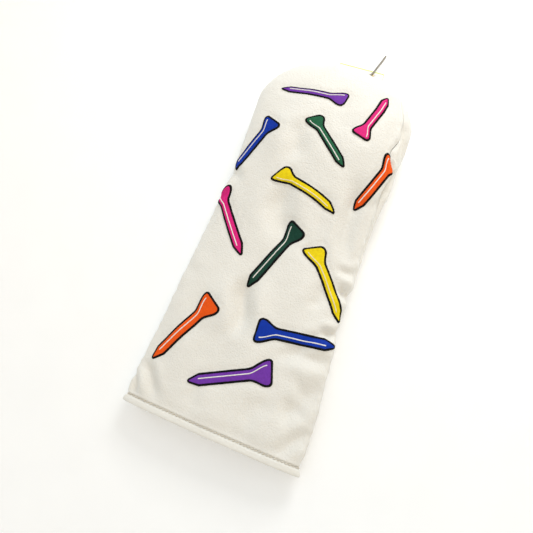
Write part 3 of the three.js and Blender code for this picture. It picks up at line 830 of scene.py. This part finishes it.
def stitch_meshes(centres, runs, slants, normals):
    """Plump stitches, each a short arc that sinks into the leather at both ends."""
    rings, sides = 9, 8
    t = np.linspace(-1, 1, rings)
    angle = np.linspace(0, 2 * np.pi, sides, endpoint=False)
    along = runs * STITCH_HALF_LENGTH + slants * STITCH_SLANT
    line = (centres[:, None] + along[:, None] * t[None, :, None]
            + normals[:, None] * (STITCH_LIFT * (1 - t**4))[None, :, None])
    size = STITCH_RADIUS * np.sqrt(1 - 0.85 * t**4)
    side = unit(np.cross(unit(along), normals))
    points = (line[:, :, None]
              + side[:, None, None] * (size[:, None] * np.cos(angle))[None, :, :, None]
              + normals[:, None, None] * (size[:, None] * np.sin(angle))[None, :, :, None])
    one = grid_faces(rings, sides, ring_columns=True)
    offsets = np.arange(len(centres)) * rings * sides
    return points.reshape(-1, 3), (one[None] + offsets[:, None, None]).reshape(-1, 4)


def hem_stitches():
    made = []
    for side in (front_side, back_side):
        row = float(side.row_at(STITCH_LINE))
        walked = side.walked[int(row)]
        count = int(walked[-1] / STITCH_PITCH)
        column = np.interp((np.arange(count) + 0.5) * walked[-1] / count, walked, np.arange(COLUMNS))
        rows = np.full(count, row)
        centre = sampled(side.outer, rows, column)
        run = unit(sampled(side.outer, rows, column + 0.6) - sampled(side.outer, rows, column - 0.6))
        normal = unit(sampled(side.direction, rows, column))
        made.append(stitch_meshes(centre, run, unit(np.cross(normal, run)), normal))
    return joined(*made)


make_mesh("hem_stitches", *hem_stitches(), hem_thread, replaces=["hem_topstitch"], slot="hem_thread")

SEAM_THREAD_INSET = 2.4
SEAM_THREAD_RADIUS = 0.3
SEAM_THREAD_LAY = 1.6


def seam_line():
    """Up the right seam and back down the left one, just under the leather."""
    inner = front_side.layer(SEAM_THREAD_INSET)
    rows = slice(10, ROWS - 6, 2)
    return np.concatenate([inner[rows, 0], inner[rows, -1][::-1]])


make_mesh("seam_stitching", *plied_tube(seam_line(), SEAM_THREAD_RADIUS, SEAM_THREAD_LAY, sides=8),
          seam_thread, replaces=["perimeter_seam_thread"], slot="seam_thread")


# ---------- embroidery ----------
OUTLINE_WIDTH = 2.0
OUTLINE_SHARE = 0.12     # of a narrow tee's width
OUTLINE_HEIGHT = 0.75
FILL_TUCK = 1.2          # how far the fill stays inside the outline's outer edge
FILL_HEIGHT = 0.36
HIGHLIGHT_WIDTH = 0.95
HIGHLIGHT_HEIGHT = 0.62
HIGHLIGHT_SPAN = (0.13, 0.935)
HIGHLIGHT_OFFSET = (0.035, 0.27)
THREAD_PITCH = 0.44
RIDGE = 0.07
STEP = 0.15


def on_front(flat, height):
    """Points `height` above the front leather at flat-pattern places, and which of them are past the seam."""
    row = front_side.row_at(flat[..., 1])
    column = (flat[..., 0] + ACROSS_LIMIT) / ACROSS_STEP
    angle = sampled(angle_of_across, row, column)
    seam = np.interp(row, np.arange(ROWS), row_seam)
    part = (angle - seam) / np.pi
    column = (part - SEAM_TRIM) / (1 - 2 * SEAM_TRIM) * (COLUMNS - 1)
    past = (column < 0) | (column > COLUMNS - 1)
    point = sampled(front_side.outer, row, column)
    normal = unit(sampled(front_side.normal, row, column))
    return point + normal * height[..., None], past


def add_stitching(tee, part, flat, height, colour, flip=False, ring=False):
    points, past = on_front(flat, height)
    rows, columns = past.shape
    faces = grid_faces(rows, columns, ring_rows=ring)
    faces = faces[~past.reshape(-1)[faces].any(axis=1)]
    if flip:
        faces = faces[:, ::-1]
    used, renumbered = np.unique(faces, return_inverse=True)
    slot = "embroidery_" + {"cream": "white"}.get(colour, colour)
    make_mesh(f"stitched_{tee.name}_{part}", points.reshape(-1, 3)[used], renumbered.reshape(faces.shape),
              THREADS[colour], replaces=[f"tee_{tee.name}_{part}"], slot=slot)


def ridges(run, across, seed):
    """Height of satin threads that lie across a column, each a little uneven."""
    wave = np.sin(2 * np.pi * (run / THREAD_PITCH + 0.3 * across))
    return RIDGE * (wave + 0.5 * soft_noise(run, across * 3, 1.7, seed))


def tee_fill(tee, seed):
    length = tee_length(tee)
    end = FILL_TUCK / length
    share = np.linspace(end, 1 - end, int(length / STEP))
    side = np.linspace(-1, 1, 15)
    half = np.maximum(tee_half_width(tee, share) - FILL_TUCK, 0.2)
    offset = half[:, None] * side[None, :]
    run = np.broadcast_to((share * length)[:, None], offset.shape)
    height = FILL_HEIGHT + 0.14 * (1 - side**2)[None, :] + ridges(run, offset, seed)
    flat = tee_point(tee, np.broadcast_to(share[:, None], offset.shape), offset)
    add_stitching(tee, "fill", flat, height, tee.colour)


def tee_loop(tee):
    """Closed outline in flat-pattern millimetres, evenly spaced: up the left side and down the right."""
    share = np.linspace(0, 1, 600)
    half = tee_half_width(tee, share)
    up = tee_point(tee, share, half)
    down = tee_point(tee, share, -half)[::-1]
    loop = np.concatenate([up, down])
    closed = np.concatenate([loop, loop[:1]])
    walked = np.concatenate([[0], np.cumsum(np.linalg.norm(np.diff(closed, axis=0), axis=1))])
    at = np.linspace(0, walked[-1], int(walked[-1] / STEP), endpoint=False)
    even = np.stack([np.interp(at, walked, closed[:, k]) for k in (0, 1)], -1)
    for _ in range(3):
        even = (np.roll(even, 1, axis=0) + 2 * even + np.roll(even, -1, axis=0)) / 4
    return even, at


def tee_outline(tee, seed):
    loop, walked = tee_loop(tee)
    tangent = unit(np.roll(loop, -1, axis=0) - np.roll(loop, 1, axis=0))
    for _ in range(6):
        tangent = unit(np.roll(tangent, 1, axis=0) + 2 * tangent + np.roll(tangent, -1, axis=0))
    inward = np.stack([tangent[:, 1], -tangent[:, 0]], -1)
    width = min(OUTLINE_WIDTH, OUTLINE_SHARE * tee.width)
    part = np.linspace(0, 1, 9)
    run = np.broadcast_to(walked[:, None], (len(walked), len(part)))
    threads = ridges(run, part[None, :] * width, seed)
    uneven = soft_noise(walked, 0 * walked, 1.3, seed + 50)
    edge = 0.12 * np.sin(2 * np.pi * walked / THREAD_PITCH) + 0.08 * uneven
    reach = part[None, :] * width + edge[:, None] * (1 - 2 * part[None, :])
    flat = loop[:, None] + inward[:, None] * reach[..., None]
    crown = np.sqrt(np.maximum(1 - (2 * part - 1) ** 2, 0))[None, :]
    height = -0.1 + OUTLINE_HEIGHT * crown + threads * crown
    add_stitching(tee, "outline", flat, height, "black", flip=True, ring=True)


def tee_highlight(tee, seed):
    length = tee_length(tee)
    start, stop = HIGHLIGHT_SPAN
    share = np.linspace(start, stop, int(length * (stop - start) / STEP))
    on_shank, at_head = HIGHLIGHT_OFFSET
    middle = tee.width * (on_shank + (at_head - on_shank) * flared(share))
    side = np.linspace(-1, 1, 7)
    ends = np.sqrt(np.clip(np.minimum(share - start, stop - share) * length / 0.5, 0, 1))
    offset = middle[:, None] + side[None, :] * HIGHLIGHT_WIDTH / 2 * (0.3 + 0.7 * ends[:, None])
    run = np.broadcast_to((share * length)[:, None], offset.shape)
    crown = np.sqrt(np.maximum(1 - side**2, 0))[None, :]
    rise = HIGHLIGHT_HEIGHT * (0.4 + 0.6 * ends[:, None]) + ridges(run, offset, seed)
    height = 0.3 + rise * crown
    flat = tee_point(tee, np.broadcast_to(share[:, None], offset.shape), offset)
    add_stitching(tee, "highlight", flat, height, "cream" if tee.colour == "yellow" else "white")


for number, tee in enumerate(TEES):
    tee_fill(tee, 100 + number)
    tee_outline(tee, 200 + number)
    tee_highlight(tee, 300 + number)


# ---------- plush pile seen through the mouth ----------
TUFTS_PER_SIDE = 5200
TUFT_LENGTH = 2.6
TUFT_RADIUS = 0.3
TUFT_REACH = (3.5, 70)
TUFT_UNEVEN = 0.55


def tufts(side, inset, seed):
    """Slim three-sided spikes that stand on the lining, most of them near the mouth."""
    rng = np.random.default_rng(seed)
    length = TUFT_REACH[0] + (TUFT_REACH[1] - TUFT_REACH[0]) * rng.random(TUFTS_PER_SIDE) ** 1.5
    row = side.row_at(length)
    column = rng.uniform(3, COLUMNS - 4, TUFTS_PER_SIDE)
    root = sampled(side.layer(inset), row, column)
    inward = -unit(sampled(side.direction, row, column))
    lean = unit(inward + rng.normal(0, TUFT_UNEVEN, inward.shape) - np.array([0, 0.25, 0]))
    across = unit(np.cross(lean, (0.3, 0.5, 0.8)))
    other = np.cross(lean, across)
    size = TUFT_LENGTH * rng.uniform(0.6, 1.1, TUFTS_PER_SIDE)[:, None]
    corners = [root - inward * TUFT_RADIUS + TUFT_RADIUS * (across * np.cos(a) + other * np.sin(a))
               for a in (0, 2.1, 4.2)]
    points = np.stack([*corners, root + lean * size], 1)
    first = np.arange(TUFTS_PER_SIDE)[:, None] * 4
    spike = ((0, 1, 3), (1, 2, 3), (2, 0, 3), (0, 2, 1))
    faces = np.concatenate([first + np.array([face]) for face in spike])
    return points.reshape(-1, 3), faces


for side, inset, name, seed in ((front_side, 6.0, "front_pile", 11), (back_side, 6.5, "back_pile", 12)):
    make_mesh(name, *tufts(side, inset, seed), plush, slot="plush_lining")


# ---------- hang tag ----------
TAG_HOLE = np.array([15.2, 172.4])
TAG_TURN = math.radians(-2.5)
TAG_EDGE_BEYOND_HOLE = 4.9
TAG_LENGTH = 42
TAG_HOLE_FROM_RIGHT = 10.5
TAG_DEPTH = 24
TAG_HOLE_RADIUS = 1.9
TAG_CORNER = 1.6
TAG_BAND_WIDTH = 0.9
CARD_HEIGHT = (0.1, 0.55)
FACE_HEIGHT = (0.6, 0.85)
BEVEL = 0.08


def in_row_frame(points):
    """Points of the tag's own plane, with its hole at the middle, moved to where the tag lies."""
    c, s = math.cos(TAG_TURN), math.sin(TAG_TURN)
    x, y, z = points[..., 0], points[..., 1], points[..., 2]
    return np.stack([TAG_HOLE[0] + c * x - s * y, TAG_HOLE[1] + s * x + c * y, z], -1)


def tag_sheet(name, far_edge, heights, material, slot, node):
    """One layer of the tag: a rectangle with round corners and the string's hole."""
    left, right = TAG_HOLE_FROM_RIGHT - TAG_LENGTH, TAG_HOLE_FROM_RIGHT
    near = TAG_EDGE_BEYOND_HOLE - TAG_DEPTH
    quarter = np.linspace(0, np.pi / 2, 10)
    corners = ((right, far_edge, 0), (left, far_edge, 1), (left, near, 2), (right, near, 3))
    rim = np.concatenate([
        np.stack([x - TAG_CORNER * np.sign(x) + TAG_CORNER * np.cos(quarter + k * np.pi / 2),
                  y - TAG_CORNER * (1 if k < 2 else -1) + TAG_CORNER * np.sin(quarter + k * np.pi / 2)], -1)
        for x, y, k in corners])
    edge_angle = np.arctan2(rim[:, 1], rim[:, 0])
    hole = TAG_HOLE_RADIUS * np.stack([np.cos(edge_angle), np.sin(edge_angle)], -1)
    bottom, top = heights
    profile = [(0, top), (0.35, top), (0.7, top), (1 - BEVEL / 8, top), (1, top - BEVEL),
               (1, bottom + BEVEL), (1 - BEVEL / 8, bottom), (0.5, bottom), (0, bottom)]
    rings = [np.concatenate([hole + (rim - hole) * out, np.full((len(rim), 1), z)], -1)
             for out, z in profile]
    points = in_row_frame(np.array(rings))
    faces = grid_faces(len(profile), len(rim), ring_rows=True, ring_columns=True)
    return make_mesh(name, points, faces, material, body="tag", replaces=[node], slot=slot)


neon = tag_sheet("neon_card", TAG_EDGE_BEYOND_HOLE, CARD_HEIGHT, neon_card, "tag_neon_card", "tag_card")
paper = tag_sheet("white_card_face", TAG_EDGE_BEYOND_HOLE - TAG_BAND_WIDTH, FACE_HEIGHT, white_card,
                  "tag_white_card", "tag_face")


def rolled_eyelet():
    """A brass ring with a rolled flange on each face of the tag."""
    section_points = np.array([
        (1.0, 0.12), (1.35, 0.08), (1.75, 0.1), (1.85, 0.02), (1.5, 0.0), (1.05, 0.02), (0.95, 0.3),
        (0.95, 0.75), (1.05, 1.05), (1.45, 1.16), (1.8, 1.08), (1.9, 0.95), (1.75, 0.9), (1.45, 0.98),
        (1.15, 0.85)])
    angle = np.linspace(0, 2 * np.pi, 48, endpoint=False)
    radius, height = section_points[:, 0], section_points[:, 1]
    points = np.stack([
        radius[:, None] * np.cos(angle), radius[:, None] * np.sin(angle),
        np.broadcast_to(height[:, None], (len(radius), len(angle)))], -1)
    faces = grid_faces(len(radius), len(angle), ring_rows=True, ring_columns=True)[:, ::-1]
    return in_row_frame(points), faces


eyelet = make_mesh("rolled_eyelet", *rolled_eyelet(), eyelet_brass, body="tag",
                   replaces=["tag_eyelet"], slot="eyelet_brass")


# ---------- floor, sky and lights ----------
FLOOR_DROP = 0.4
FLOOR_RADIUS = 1200       # flat out to here, and then curved up into a pale wall
FLOOR_MIDDLE = 1          # radius of the disc that closes it at the middle
WALL_CURVE = 500
WALL_HEIGHT = 1000
WALL_STEPS = 16
FLOOR_SIDES = 96
n = Nodes("floor_white")
n.set(Roughness=0.9, Specular_IOR_Level=0.1, Emission_Strength=0.12, Emission_Color=(1, 1, 1, 1))
floor_material = n.finish(n.ramp(n.noise(30), (0.9, 0.925, 0.94), (0.92, 0.945, 0.96)))
bend = np.linspace(0, np.pi / 2, WALL_STEPS)
wall_out = FLOOR_RADIUS + WALL_CURVE * np.sin(bend)
wall_up = WALL_CURVE * (1 - np.cos(bend))
profile_out = np.concatenate([[FLOOR_MIDDLE, FLOOR_RADIUS / 2], wall_out, wall_out[-1:]])
profile_up = np.concatenate([[0, 0], wall_up, [WALL_HEIGHT]]) - FLOOR_DROP
spin = np.linspace(0, 2 * np.pi, FLOOR_SIDES, endpoint=False)
floor_points = np.stack([profile_out[:, None] * np.cos(spin), profile_out[:, None] * np.sin(spin),
                         np.broadcast_to(profile_up[:, None], (len(profile_out), FLOOR_SIDES))], -1)
floor_faces = grid_faces(len(profile_out), FLOOR_SIDES, ring_columns=True).tolist()
floor_faces.append(list(range(FLOOR_SIDES)))
new_object("floor", floor_points, floor_faces, floor_material)

WARM_SIDE = (0.85, -0.5, 0)
STUDIO_WHITE = (1.0, 0.995, 0.98)
COOL_SKY = (0.6, 0.82, 1.0)
WARM_SKY = (1.0, 0.58, 0.1)
WHITE_SKY_AT = 0.46       # place of the white between the cool side (0) and the warm side (1)
SKY_AT_HORIZON = 0.1
SKY_OVERHEAD = 1.12
sky = Nodes("studio", bpy.data.worlds, "Background", "Generated")
scene.world = sky.owner
towards = sky.add("ShaderNodeVectorMath", operation="DOT_PRODUCT")
towards.inputs[1].default_value = WARM_SIDE
sky.join(sky.place, towards.inputs[0])
tint = sky.add("ShaderNodeValToRGB")
tint.color_ramp.elements[0].color = (*COOL_SKY, 1)
tint.color_ramp.elements[1].color = (*WARM_SKY, 1)
tint.color_ramp.elements.new(WHITE_SKY_AT).color = (*STUDIO_WHITE, 1)
sky.join(sky.ramp(towards.outputs["Value"], 0, 1, -1, 1), tint.inputs["Fac"])
sky.join(tint.outputs["Color"], sky.shader.inputs["Color"])
heights = sky.add("ShaderNodeSeparateXYZ")
sky.join(sky.place, heights.inputs["Vector"])
strength = sky.ramp(heights.outputs["Z"], SKY_AT_HORIZON, SKY_OVERHEAD, 0, 1)
sky.join(strength, sky.shader.inputs["Strength"])

KEY_AT = Vector((100, 550, 400)) * MM
KEY_SIZE = 260 * MM
KEY_WATTS = 2.05
key_data = bpy.data.lights.new("key", "AREA")
key_data.size = KEY_SIZE
key_data.energy = KEY_WATTS
key_data.color = STUDIO_WHITE
key = bpy.data.objects.new("key", key_data)
key.location = KEY_AT
key.rotation_mode = "QUATERNION"
key.rotation_quaternion = (-KEY_AT).to_track_quat("-Z", "Y")
scene.collection.objects.link(key)

scene.view_settings.view_transform = "Standard"
